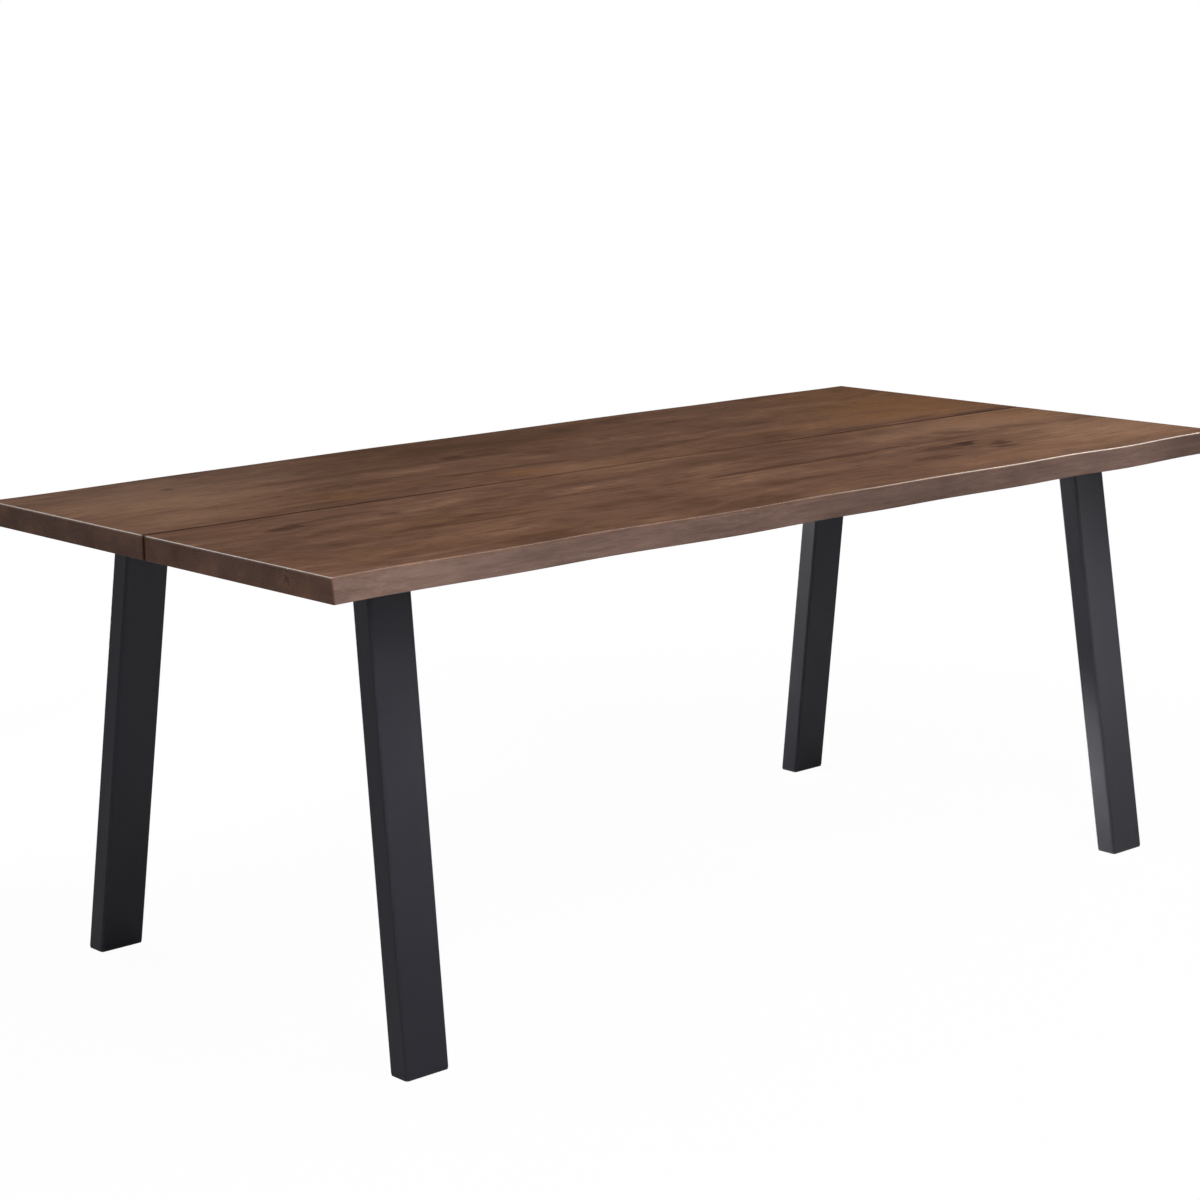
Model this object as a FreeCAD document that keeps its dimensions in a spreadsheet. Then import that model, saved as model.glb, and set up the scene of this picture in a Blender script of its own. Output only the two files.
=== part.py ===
import FreeCAD, Part
import math
import os
import Sketcher
from FreeCAD import Vector

# A dining table: two wavy-edged oak planks on two frames of leaning steel legs.
# +X runs along the table to its right end, +Y to its rear edge and +Z up.
# The origin is on the floor under the middle of the top. Sizes are in millimetres.

SIZES = [
    ("table_height", 765, "floor to the upper face of the top"),
    ("top_length", 2000, "length of the planks"),
    ("top_width", 950, "widest distance between the long edges, at their lower arrises"),
    ("top_thickness", 38, "thickness of the planks"),
    ("plank_gap", 4, "gap between the planks at their ends"),
    ("gap_middle", 2, "gap between the planks in the middle of their length"),
    ("edge_lean", 6.5, "how much further out a long edge stands at the bottom than at the top"),
    ("front_wave", 18.5, "deepest hollow of the front edge"),
    ("rear_wave", 30, "deepest hollow of the rear edge"),
    ("front_joint", 200, "middle of the gap to the glue joint of the front plank"),
    ("rear_joint", 133, "middle of the gap to the glue joint of the rear plank"),
    ("arris_radius", 2.5, "rounding of the outer upper arrises and the corners"),
    ("fine_arris", 1, "rounding of the lower arrises"),
    ("tube_width", 80, "leg tube, along the table"),
    ("tube_depth", 40, "leg tube, across the table"),
    ("tube_wall", 2.5, "leg tube, wall"),
    ("tube_corner", 5, "leg tube, outer corner radius"),
    ("tube_inner_corner", 2.5, "leg tube, inner corner radius"),
    ("foot_end_inset", 175, "end of the top to the middle of a foot, along the table"),
    ("foot_edge_inset", 72, "widest long edge to the middle of a foot, across the table"),
    ("leg_splay_x", 24.5, "how much further out a leg stands at its foot than at its head, along"),
    ("leg_splay_y", 97.5, "how much further out a leg stands at its foot than at its head, across"),
    ("foot_sole", 3, "foot plug, thickness of the sole below the tube"),
    ("foot_inset", 0.5, "foot plug, how far the sole stays inside the tube's outline"),
    ("foot_depth", 20, "foot plug, height of the collar inside the tube"),
    ("foot_wall", 2.5, "foot plug, wall of the collar"),
    ("foot_clearance", 0.15, "foot plug, clearance between collar and tube"),
    ("leg_bar_width", 100, "leg bar, along the table"),
    ("leg_bar_thickness", 6, "leg bar, thickness"),
    ("leg_bar_overhang", 74.5, "leg bar, past the outer face of each leg"),
    ("leg_bar_corner", 6, "leg bar, corner radius in plan"),
    ("leg_bar_bolt_margin", 47, "face of a leg to the bolts beside it"),
    ("batten_width", 50, "batten, along the table"),
    ("batten_thickness", 6, "batten, thickness"),
    ("batten_length", 720, "batten, across the table"),
    ("batten_corner", 6, "batten, corner radius in plan"),
    ("batten_bolt_margin", 30, "end of a batten to its outer bolt"),
    ("inner_bolt_reach", 60, "middle of the gap to the bolts beside it"),
    ("slot_clearance", 0.5, "bolt to the side of its slot"),
    ("slot_travel", 9, "length of a slot beyond its width, for the movement of the wood"),
    ("insert_clearance", 0.1, "insert to the side of its hole in the wood"),
    ("insert_hole_room", 2, "hole in the wood beyond the end of the insert"),
    ("thread_clearance", 0.1, "bolt to the bore of its insert"),
    ("washer_clearance", 0.25, "bolt to the bore of its washer"),
    ("leg_bar_bolt_thread", 8, "leg bar bolt, diameter of the shank"),
    ("leg_bar_bolt_head", 14, "leg bar bolt, diameter of the head"),
    ("leg_bar_bolt_head_height", 4.4, "leg bar bolt, height of the head"),
    ("leg_bar_bolt_rim", 2.2, "leg bar bolt, rounding of the head"),
    ("leg_bar_bolt_socket", 5.8, "leg bar bolt, width of the hexagon socket over its corners"),
    ("leg_bar_bolt_socket_depth", 2.6, "leg bar bolt, depth of the hexagon socket"),
    ("leg_bar_bolt_engagement", 17, "leg bar bolt, length inside the insert"),
    ("leg_bar_washer_outer", 24, "leg bar washer, diameter"),
    ("leg_bar_washer_thickness", 2, "leg bar washer, thickness"),
    ("leg_bar_insert_outer", 12, "leg bar insert, diameter"),
    ("leg_bar_insert_length", 20, "leg bar insert, length"),
    ("batten_bolt_thread", 6, "batten bolt, diameter of the shank"),
    ("batten_bolt_head", 10.5, "batten bolt, diameter of the head"),
    ("batten_bolt_head_height", 3.3, "batten bolt, height of the head"),
    ("batten_bolt_rim", 1.6, "batten bolt, rounding of the head"),
    ("batten_bolt_socket", 4.6, "batten bolt, width of the hexagon socket over its corners"),
    ("batten_bolt_socket_depth", 2, "batten bolt, depth of the hexagon socket"),
    ("batten_bolt_engagement", 12, "batten bolt, length inside the insert"),
    ("batten_washer_outer", 18, "batten washer, diameter"),
    ("batten_washer_thickness", 1.6, "batten washer, thickness"),
    ("batten_insert_outer", 10, "batten insert, diameter"),
    ("batten_insert_length", 15, "batten insert, length"),
]

# The waves of the long edges: place as a share of the length from the left end,
# and depth of the hollow there as a share of that edge's deepest hollow.
FRONT_WAVE = [
    (0.0, 0.76), (0.07, 1.0), (0.175, 0.73), (0.25, 0.95), (0.385, 0.32), (0.49, 0.62),
    (0.55, 0.41), (0.61, 0.51), (0.735, 0.22), (0.795, 0.38), (0.85, 0.0), (0.925, 0.38), (1.0, 0.38),
]
REAR_WAVE = [
    (0.0, 1.0), (0.06, 1.0), (0.155, 0.67), (0.24, 0.53), (0.39, 0.2), (0.475, 0.23),
    (0.61, 0.08), (0.73, 0.0), (0.8, 0.07), (0.88, 0.01), (0.95, 0.15), (1.0, 0.1),
]
# The edge along the gap: place, and swell as a share of the swell in the middle.
GAP_SWELL = [(0.0, 0.0), (0.25, 0.7), (0.5, 1.0), (0.75, 0.7), (1.0, 0.0)]

SIDES = {"front": -1, "rear": 1}
ENDS = {"left": -1, "right": 1}
QUARTER_TURN = math.pi / 2

document = FreeCAD.newDocument("plank_table")
sheet = document.addObject("Spreadsheet::Sheet", "Sizes")
for row, (alias, value, meaning) in enumerate(SIZES, start=1):
    sheet.set(f"A{row}", meaning)
    sheet.set(f"B{row}", str(value))
    sheet.setAlias(f"B{row}", alias)
document.recompute()

sub_parts = []


def size(alias):
    """A size from the sheet, in millimetres."""
    return float(sheet.get(alias))


def bind(item, **expressions):
    """Ties properties of a document object to the sheet; a double underscore stands for a dot."""
    for name, expression in expressions.items():
        item.setExpression(name.replace("__", "."), expression)
    return item


def sub_part(item, label):
    """Names a finished sub-part and lists it for the export."""
    item.Label = label
    sub_parts.append(item)
    return item


def boolean(kind, name, base, tool):
    item = document.addObject(f"Part::{kind}", name)
    item.Base = base
    item.Tool = tool
    return item


def cylinder(name, diameter, height, base_z):
    """A cylinder on the Z axis whose sizes are expressions."""
    item = document.addObject("Part::Cylinder", name)
    return bind(item, Radius=f"({diameter}) / 2", Height=height, Placement__Base__z=base_z)


# Sketches

def new_sketch(body, name, height="0"):
    """A sketch parallel to the body's XY plane, at a height given as an expression."""
    plane = next(item for item in body.Origin.OriginFeatures if item.Role == "XY_Plane")
    sketch = body.newObject("Sketcher::SketchObject", name)
    sketch.AttachmentSupport = [(plane, "")]
    sketch.MapMode = "FlatFace"
    return bind(sketch, AttachmentOffset__Base__z=height)


def dimension(sketch, kind, references, expression):
    """A dimension of the sketch, tied to an expression."""
    value = float(sketch.evalExpression(expression))
    index = sketch.addConstraint(Sketcher.Constraint(kind, *references, value))
    sketch.setExpression(f"Constraints[{index}]", expression)


def outline_of(sketch, corners, radius):
    """Lines and tangent arcs along a closed outline, given the middle of each arc, the direction
    in which it starts and how far it turns, both in quarter turns.

    Returns the numbers of the arcs and of the line that follows each of them.
    """
    arcs = []
    ends = []
    for middle, start, turn in corners:
        circle = Part.Circle(Vector(*middle, 0), Vector(0, 0, 1), radius)
        arc = Part.ArcOfCircle(circle, start * QUARTER_TURN, (start + turn) * QUARTER_TURN)
        arcs.append(sketch.addGeometry(arc))
        ends.append((arc.StartPoint, arc.EndPoint))
    lines = []
    for index, arc in enumerate(arcs):
        following = (index + 1) % len(arcs)
        line = sketch.addGeometry(Part.LineSegment(ends[index][1], ends[following][0]))
        sketch.addConstraint(Sketcher.Constraint("Tangent", arc, 2, line, 1))
        sketch.addConstraint(Sketcher.Constraint("Tangent", line, 2, arcs[following], 1))
        lines.append(line)
    return arcs, lines


def rounded_rectangle(sketch, width, depth, corner):
    """A rounded rectangle about the sketch's origin; its sizes are expressions."""
    radius = float(sketch.evalExpression(corner))
    x = float(sketch.evalExpression(width)) / 2 - radius
    y = float(sketch.evalExpression(depth)) / 2 - radius
    corners = [((x, y), 0, 1), ((-x, y), 1, 1), ((-x, -y), 2, 1), ((x, -y), 3, 1)]
    arcs, lines = outline_of(sketch, corners, radius)
    top, left, bottom, right = lines
    for line in (top, bottom):
        sketch.addConstraint(Sketcher.Constraint("Horizontal", line))
    for line in (left, right):
        sketch.addConstraint(Sketcher.Constraint("Vertical", line))
    for arc in arcs[1:]:
        sketch.addConstraint(Sketcher.Constraint("Equal", arcs[0], arc))
    sketch.addConstraint(Sketcher.Constraint("Symmetric", arcs[0], 3, arcs[2], 3, -1, 1))
    dimension(sketch, "DistanceX", (left, 1, right, 1), width)
    dimension(sketch, "DistanceY", (bottom, 1, top, 1), depth)
    dimension(sketch, "Radius", (arcs[0],), corner)


def slot(sketch, place, width, travel):
    """A slot along the sketch's Y axis; its place on that axis and its sizes are expressions."""
    half_travel = f"({travel}) / 2"
    y = float(sketch.evalExpression(place))
    reach = float(sketch.evalExpression(half_travel))
    radius = float(sketch.evalExpression(width)) / 2
    corners = [((0, y + reach), 0, 2), ((0, y - reach), 2, 2)]
    arcs, lines = outline_of(sketch, corners, radius)
    for line in lines:
        sketch.addConstraint(Sketcher.Constraint("Vertical", line))
    sketch.addConstraint(Sketcher.Constraint("PointOnObject", arcs[0], 3, -2))
    dimension(sketch, "DistanceY", (-1, 1, arcs[0], 3), f"{place} + {half_travel}")
    dimension(sketch, "DistanceY", (arcs[1], 3, arcs[0], 3), travel)
    dimension(sketch, "Radius", (arcs[0],), f"({width}) / 2")


def pad(body, name, sketch, length):
    feature = body.newObject("PartDesign::Pad", name)
    feature.Profile = sketch
    return bind(feature, Length=length)


def lean_pad(body, name, sketch, length, end, side):
    """A pad that leans along with the legs of that corner; its length is measured upright."""
    feature = pad(body, name, sketch, length)
    feature.UseCustomVector = True
    feature.AlongSketchNormal = True
    return bind(
        feature,
        Direction__x=f"{-end} * Sizes.leg_splay_x",
        Direction__y=f"{-side} * Sizes.leg_splay_y",
        Direction__z=LEG_HEIGHT,
    )


# Expressions for the places that several pieces share

TOP_UNDERSIDE = "(Sizes.table_height - Sizes.top_thickness)"
LEG_HEIGHT = f"({TOP_UNDERSIDE} - Sizes.leg_bar_thickness - Sizes.foot_sole)"
FOOT_X = "(Sizes.top_length / 2 - Sizes.foot_end_inset)"
FOOT_Y = "(Sizes.top_width / 2 - Sizes.foot_edge_inset)"
LEG_HEAD_X = f"({FOOT_X} - Sizes.leg_splay_x)"
LEG_HEAD_Y = f"({FOOT_Y} - Sizes.leg_splay_y)"
LEG_BAR_LENGTH = f"(2 * ({LEG_HEAD_Y} + Sizes.leg_bar_overhang) + Sizes.tube_depth)"
LEG_BOLT_OFFSET = "(Sizes.tube_depth / 2 + Sizes.leg_bar_bolt_margin)"
BOLT_ROWS = {
    "leg_bar": [
        "Sizes.inner_bolt_reach",
        f"({LEG_HEAD_Y} - {LEG_BOLT_OFFSET})",
        f"({LEG_HEAD_Y} + {LEG_BOLT_OFFSET})",
    ],
    "batten": ["Sizes.inner_bolt_reach", "(Sizes.batten_length / 2 - Sizes.batten_bolt_margin)"],
}
BATTEN_X = f"({LEG_HEAD_X} / 3)"
BAR_REACH = {"leg_bar": LEG_HEAD_X, "batten": BATTEN_X}
BAR_LENGTH = {"leg_bar": LEG_BAR_LENGTH, "batten": "Sizes.batten_length"}


# Steel: legs, leg bars and battens

def leg(end, side):
    """A rectangular tube that leans outwards, cut level at both ends."""
    label = f"{side}_{end}_leg"
    body = document.addObject("PartDesign::Body", label)
    sketch = new_sketch(body, f"{label}_section")
    rounded_rectangle(sketch, "Sizes.tube_width", "Sizes.tube_depth", "Sizes.tube_corner")
    rounded_rectangle(
        sketch,
        "Sizes.tube_width - 2 * Sizes.tube_wall",
        "Sizes.tube_depth - 2 * Sizes.tube_wall",
        "Sizes.tube_inner_corner",
    )
    lean_pad(body, f"{label}_tube", sketch, LEG_HEIGHT, ENDS[end], SIDES[side])
    bind(
        body,
        Placement__Base__x=f"{ENDS[end]} * {FOOT_X}",
        Placement__Base__y=f"{SIDES[side]} * {FOOT_Y}",
        Placement__Base__z="Sizes.foot_sole",
    )
    sub_part(body, label)


def cross_bar(kind, end):
    """A flat bar across the underside of the top, with a slot for each bolt."""
    label = f"{end}_{kind}"
    body = document.addObject("PartDesign::Body", label)
    outline = new_sketch(body, f"{label}_outline")
    rounded_rectangle(outline, f"Sizes.{kind}_width", BAR_LENGTH[kind], f"Sizes.{kind}_corner")
    pad(body, f"{label}_plate", outline, f"Sizes.{kind}_thickness")
    slots = new_sketch(body, f"{label}_slot_row")
    for row in BOLT_ROWS[kind]:
        slot(slots, row, f"Sizes.{kind}_bolt_thread + 2 * Sizes.slot_clearance", "Sizes.slot_travel")
    pocket = body.newObject("PartDesign::Pocket", f"{label}_slots")
    pocket.Profile = slots
    pocket.Type = "ThroughAll"
    pocket.Reversed = True
    mirrored = body.newObject("PartDesign::Mirrored", f"{label}_mirrored_slots")
    mirrored.Originals = [pocket]
    mirrored.MirrorPlane = (slots, ["H_Axis"])
    body.Tip = mirrored
    bind(
        body,
        Placement__Base__x=f"{ENDS[end]} * {BAR_REACH[kind]}",
        Placement__Base__z=f"{TOP_UNDERSIDE} - Sizes.{kind}_thickness",
    )
    sub_part(body, label)


# Feet

def foot(end, side):
    """A plastic plug: a sole under the tube and a collar that stands inside it."""
    label = f"{side}_{end}_foot"
    body = document.addObject("PartDesign::Body", label)
    sole = new_sketch(body, f"{label}_sole_outline")
    rounded_rectangle(
        sole,
        "Sizes.tube_width - 2 * Sizes.foot_inset",
        "Sizes.tube_depth - 2 * Sizes.foot_inset",
        "Sizes.tube_corner",
    )
    pad(body, f"{label}_sole", sole, "Sizes.foot_sole")
    collar = new_sketch(body, f"{label}_collar_outline", "Sizes.foot_sole")
    outside = "(Sizes.tube_wall + Sizes.foot_clearance)"
    inside = f"({outside} + Sizes.foot_wall)"
    for inset in (outside, inside):
        rounded_rectangle(
            collar,
            f"Sizes.tube_width - 2 * {inset}",
            f"Sizes.tube_depth - 2 * {inset}",
            "Sizes.tube_inner_corner",
        )
    lean_pad(body, f"{label}_collar", collar, "Sizes.foot_depth", ENDS[end], SIDES[side])
    bind(
        body,
        Placement__Base__x=f"{ENDS[end]} * {FOOT_X}",
        Placement__Base__y=f"{SIDES[side]} * {FOOT_Y}",
    )
    sub_part(body, label)


# Fasteners: one of each kind about the Z axis, with Z at zero on the underside of the top

def ring(name, outer, bore, height, base_z):
    """A round disc or sleeve with a bore right through; its sizes are expressions."""
    disc = cylinder(f"{name}_disc", outer, height, base_z)
    hole = cylinder(f"{name}_bore", bore, height, base_z)
    return boolean("Cut", name, disc, hole)


def bolt(kind):
    """A button-head bolt with a hexagon socket, put in from below."""
    name = f"Sizes.{kind}_bolt"
    stack = f"(Sizes.{kind}_thickness + Sizes.{kind}_washer_thickness)"
    head_base = f"-{stack} - {name}_head_height"
    head = cylinder(f"{kind}_bolt_head", f"{name}_head", f"{name}_head_height", head_base)
    document.recompute()
    rim = min(range(len(head.Shape.Edges)), key=lambda index: head.Shape.Edges[index].CenterOfMass.z)
    button = document.addObject("Part::Fillet", f"{kind}_bolt_button")
    button.Base = head
    button.Edges = [(rim + 1, size(f"{kind}_bolt_rim"), size(f"{kind}_bolt_rim"))]
    shank = cylinder(f"{kind}_bolt_shank", f"{name}_thread", f"{stack} + {name}_engagement", f"-{stack}")
    socket = document.addObject("Part::Prism", f"{kind}_bolt_socket")
    socket.Polygon = 6
    bind(
        socket,
        Circumradius=f"{name}_socket / 2",
        Height=f"{name}_socket_depth",
        Placement__Base__z=head_base,
    )
    whole = boolean("Fuse", f"{kind}_bolt_blank", button, shank)
    return boolean("Cut", f"{kind}_bolt", whole, socket)


def washer(kind):
    return ring(
        f"{kind}_washer",
        f"Sizes.{kind}_washer_outer",
        f"Sizes.{kind}_bolt_thread + 2 * Sizes.washer_clearance",
        f"Sizes.{kind}_washer_thickness",
        f"-(Sizes.{kind}_thickness + Sizes.{kind}_washer_thickness)",
    )


def insert(kind):
    """A threaded sleeve in the wood, flush with the underside of the top."""
    return ring(
        f"{kind}_insert",
        f"Sizes.{kind}_insert_outer",
        f"Sizes.{kind}_bolt_thread + 2 * Sizes.thread_clearance",
        f"Sizes.{kind}_insert_length",
        "0",
    )


def insert_hole(kind):
    return cylinder(
        f"{kind}_insert_hole",
        f"Sizes.{kind}_insert_outer + 2 * Sizes.insert_clearance",
        f"Sizes.{kind}_insert_length + Sizes.insert_hole_room",
        "0",
    )


def at_each_bolt(kind, single, label):
    """Copies of one piece, as a group of separate solids, at every bolt of the bars of a kind."""
    document.recompute()
    x = float(sheet.evalExpression(BAR_REACH[kind]))
    z = float(sheet.evalExpression(TOP_UNDERSIDE))
    copies = []
    for end in ENDS.values():
        for side in SIDES.values():
            for row in BOLT_ROWS[kind]:
                copy = single.Shape.copy()
                copy.translate(Vector(end * x, side * float(sheet.evalExpression(row)), z))
                copies.append(copy)
    group = document.addObject("Part::Feature", label)
    group.Shape = Part.makeCompound(copies)
    return group


# Wood: two planks, each of two staves

def edge_curve(side, distances, z):
    """A curve along the table; distances are pairs of place and distance from the middle of the gap."""
    length = size("top_length")
    points = [Vector((place - 0.5) * length, side * distance, z) for place, distance in distances]
    curve = Part.BSplineCurve()
    curve.interpolate(points)
    return curve.toShape()


def plank_outline(side, wave, depth, lean, z):
    """The closed outline of a plank at one height, with its wavy edge drawn in by the lean."""
    reach = size("top_width") / 2 - lean
    half_gap = size("plank_gap") / 2
    swell = half_gap - size("gap_middle") / 2
    outer = edge_curve(side, [(place, reach - share * depth) for place, share in wave], z)
    inner = edge_curve(side, [(place, half_gap - share * swell) for place, share in GAP_SWELL], z)
    ends = [
        Part.LineSegment(outer.Vertexes[index].Point, inner.Vertexes[index].Point).toShape()
        for index in (0, 1)
    ]
    return Part.Wire(Part.__sortEdges__([outer, ends[1], inner, ends[0]]))


def plank(name, side, wave, depth):
    """A whole plank with its arrises eased, before it is cut into staves and drilled."""
    upper = size("table_height")
    lower = upper - size("top_thickness")
    outlines = [
        plank_outline(side, wave, depth, 0, lower),
        plank_outline(side, wave, depth, size("edge_lean"), upper),
    ]
    solid = Part.makeLoft(outlines, True, True)
    beside_gap = size("plank_gap")
    outer_edges = [edge for edge in solid.Edges if abs(edge.CenterOfMass.y) > beside_gap]
    eased = [edge for edge in outer_edges if edge.BoundBox.ZMax > upper - size("fine_arris")]
    solid = solid.makeFillet(size("arris_radius"), eased)
    low_edges = [edge for edge in solid.Edges if edge.BoundBox.ZMax < lower + size("fine_arris")]
    solid = solid.makeFillet(size("fine_arris"), low_edges)
    blank = document.addObject("Part::Feature", name)
    blank.Shape = solid
    return blank


def stave(label, blank, side, start, width, holes):
    """The part of a plank between two distances from the gap, drilled for the inserts."""
    box = document.addObject("Part::Box", f"{label}_box")
    base_y = start if side > 0 else f"-({start}) - ({width})"
    bind(
        box,
        Length="Sizes.top_length",
        Width=width,
        Height="Sizes.top_thickness",
        Placement__Base__x="-Sizes.top_length / 2",
        Placement__Base__y=base_y,
        Placement__Base__z=TOP_UNDERSIDE,
    )
    strip = boolean("Common", f"{label}_strip", blank, box)
    for index, tool in enumerate(holes):
        strip = boolean("Cut", f"{label}_drilled_{index}", strip, tool)
    sub_part(strip, label)


# The whole table

for end in ENDS:
    for side in SIDES:
        leg(end, side)
        foot(end, side)
insert_holes = []
for kind in BAR_REACH:
    for end in ENDS:
        cross_bar(kind, end)
    for maker, label in ((bolt, "bolts"), (washer, "washers"), (insert, "inserts")):
        group = at_each_bolt(kind, maker(kind), f"{kind}_{label}")
        sub_part(group, f"{kind}_{label}")
    insert_holes.append(at_each_bolt(kind, insert_hole(kind), f"{kind}_insert_holes"))
for name, wave in (("front", FRONT_WAVE), ("rear", REAR_WAVE)):
    blank = plank(f"{name}_plank", SIDES[name], wave, size(f"{name}_wave"))
    joint = f"Sizes.{name}_joint"
    stave(f"{name}_inner_stave", blank, SIDES[name], "0", joint, insert_holes)
    stave(f"{name}_outer_stave", blank, SIDES[name], joint, "Sizes.top_width / 2", insert_holes)
document.recompute()

for item in document.Objects:
    if "Invalid" in item.State or "Error" in item.State:
        raise RuntimeError(f"{item.Label} failed: {item.State}")
for item in sub_parts:
    if item.Shape.isNull() or not item.Shape.isValid():
        raise RuntimeError(f"{item.Label} has no valid shape")

os.makedirs("parts", exist_ok=True)
for item in sub_parts:
    item.Shape.exportStep(f"parts/{item.Label}.step")
    print(f"{item.Label}: {len(item.Shape.Solids)} solids, {item.Shape.Volume / 1000:.1f} cm3")
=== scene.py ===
import math

import bmesh
import bpy
from mathutils import Matrix, Vector, geometry


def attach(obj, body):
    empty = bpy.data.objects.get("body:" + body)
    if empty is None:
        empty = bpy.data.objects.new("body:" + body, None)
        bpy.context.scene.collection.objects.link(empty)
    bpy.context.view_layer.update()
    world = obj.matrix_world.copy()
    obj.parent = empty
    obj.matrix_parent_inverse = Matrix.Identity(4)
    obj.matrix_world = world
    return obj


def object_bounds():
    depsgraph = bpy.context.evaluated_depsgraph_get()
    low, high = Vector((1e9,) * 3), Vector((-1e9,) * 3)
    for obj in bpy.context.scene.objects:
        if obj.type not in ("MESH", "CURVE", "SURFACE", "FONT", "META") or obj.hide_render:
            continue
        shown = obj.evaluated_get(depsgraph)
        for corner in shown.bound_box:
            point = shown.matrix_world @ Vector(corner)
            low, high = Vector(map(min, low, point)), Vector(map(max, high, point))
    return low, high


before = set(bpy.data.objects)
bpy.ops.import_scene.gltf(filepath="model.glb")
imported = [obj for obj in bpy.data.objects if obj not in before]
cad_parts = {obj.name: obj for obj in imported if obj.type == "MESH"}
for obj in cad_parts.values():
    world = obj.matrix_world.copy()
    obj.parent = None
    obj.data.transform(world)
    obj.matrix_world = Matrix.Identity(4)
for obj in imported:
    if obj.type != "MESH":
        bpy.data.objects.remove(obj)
CAD_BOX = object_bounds()

bl_info = {
    "name": "Plank table",
    "version": (1, 0, 0),
    "blender": (4, 5, 0),
    "location": "View3D > Sidebar > Plank table",
    "description": "Dresses a dining table of two wavy-edged oak planks on leaning steel legs",
    "category": "Object",
}

ENDS = ("left", "right")
SIDES = ("front", "rear")
CORNERS = [f"{side}_{end}" for end in ENDS for side in SIDES]
STAVES = ["front_outer_stave", "front_inner_stave", "rear_inner_stave", "rear_outer_stave"]
TOP_UPPER = CAD_BOX[1].z


# Settings

class OakSettings(bpy.types.PropertyGroup):
    """Colours and grain of the smoked oak."""

    body_tone: bpy.props.FloatVectorProperty(
        name="Body", description="Colour of most of the wood",
        subtype="COLOR", size=3, default=(0.177, 0.0830, 0.0475))
    pale_tone: bpy.props.FloatVectorProperty(
        name="Pale", description="Colour of the palest wood",
        subtype="COLOR", size=3, default=(0.330, 0.175, 0.099))
    shade_tone: bpy.props.FloatVectorProperty(
        name="Shade", description="Colour of the darker clouds and streaks",
        subtype="COLOR", size=3, default=(0.096, 0.0385, 0.0140))
    warm_tone: bpy.props.FloatVectorProperty(
        name="Warm", description="Colour of the orange-brown patches",
        subtype="COLOR", size=3, default=(0.262, 0.112, 0.036))
    dark_tone: bpy.props.FloatVectorProperty(
        name="Dark", description="Colour of knots, cracks and burnt streaks",
        subtype="COLOR", size=3, default=(0.049, 0.0150, 0.0055))
    edge_tone: bpy.props.FloatVectorProperty(
        name="Edge", description="Colour of the long sawn edges",
        subtype="COLOR", size=3, default=(0.130, 0.084, 0.069))
    end_tone: bpy.props.FloatVectorProperty(
        name="End grain", description="Colour of the end grain",
        subtype="COLOR", size=3, default=(0.078, 0.039, 0.026))
    # Painted highlight: a near-white colour laid on the upper arrises in place of a lamp's glint
    arris_highlight_tone: bpy.props.FloatVectorProperty(
        name="Worn edge", description="Colour of the rubbed arrises of the top",
        subtype="COLOR", size=3, default=(0.88, 0.82, 0.77))
    ring_width: bpy.props.FloatProperty(
        name="Ring width", description="Distance between two growth rings",
        subtype="DISTANCE", unit="LENGTH", default=0.0045, min=0.001)
    roughness: bpy.props.FloatProperty(
        name="Roughness", description="Roughness of the wood under its lacquer",
        subtype="FACTOR", default=0.55, min=0.0, max=1.0)
    lacquer: bpy.props.FloatProperty(
        name="Lacquer", description="Weight of the clear lacquer",
        subtype="FACTOR", default=0.5, min=0.0, max=1.0)


class SteelSettings(bpy.types.PropertyGroup):
    """Finish of the steel and plastic pieces."""

    coat_colour: bpy.props.FloatVectorProperty(
        name="Powder coat", description="Colour of the powder coat on the legs and bars",
        subtype="COLOR", size=3, default=(0.0175, 0.0168, 0.0245))
    coat_roughness: bpy.props.FloatProperty(
        name="Coat roughness", description="Roughness of the powder coat",
        subtype="FACTOR", default=0.44, min=0.0, max=1.0)
    plastic_colour: bpy.props.FloatVectorProperty(
        name="Plastic", description="Colour of the foot plugs",
        subtype="COLOR", size=3, default=(0.012, 0.012, 0.013))
    zinc_colour: bpy.props.FloatVectorProperty(
        name="Zinc", description="Colour of the washers and inserts",
        subtype="COLOR", size=3, default=(0.52, 0.53, 0.55))
    weld_radius: bpy.props.FloatProperty(
        name="Weld radius", description="Radius of the weld bead round the head of a leg",
        subtype="DISTANCE", unit="LENGTH", default=0.003, min=0.0005)


class StageSettings(bpy.types.PropertyGroup):
    """Camera, floor and light."""

    camera_place: bpy.props.FloatVectorProperty(
        name="Camera place", description="Where the camera stands",
        subtype="TRANSLATION", unit="LENGTH", size=3, default=(-3.2412, -3.4609, 1.4872))
    camera_yaw: bpy.props.FloatProperty(
        name="Yaw", description="Direction of view, from +Y towards +X",
        subtype="ANGLE", default=math.radians(42.260))
    camera_pitch: bpy.props.FloatProperty(
        name="Pitch", description="How far the camera looks down",
        subtype="ANGLE", default=math.radians(11.457))
    camera_roll: bpy.props.FloatProperty(
        name="Roll", description="How far the camera is turned about its view",
        subtype="ANGLE", default=math.radians(-0.473))
    camera_lens: bpy.props.FloatProperty(
        name="Lens", description="Focal length in millimetres for a sensor 36 mm wide",
        default=84.541, min=1.0)
    floor_colour: bpy.props.FloatVectorProperty(
        name="Floor", description="Colour of the floor",
        subtype="COLOR", size=3, default=(0.9, 0.9, 0.9))
    floor_glow: bpy.props.FloatProperty(
        name="Floor glow", description="How much of the floor's look to the camera is plain white",
        subtype="FACTOR", default=0.97, min=0.0, max=1.0)
    world_strength: bpy.props.FloatProperty(
        name="World", description="Strength of the even light from all round",
        default=0.07, min=0.0)


# Node graphs

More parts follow.
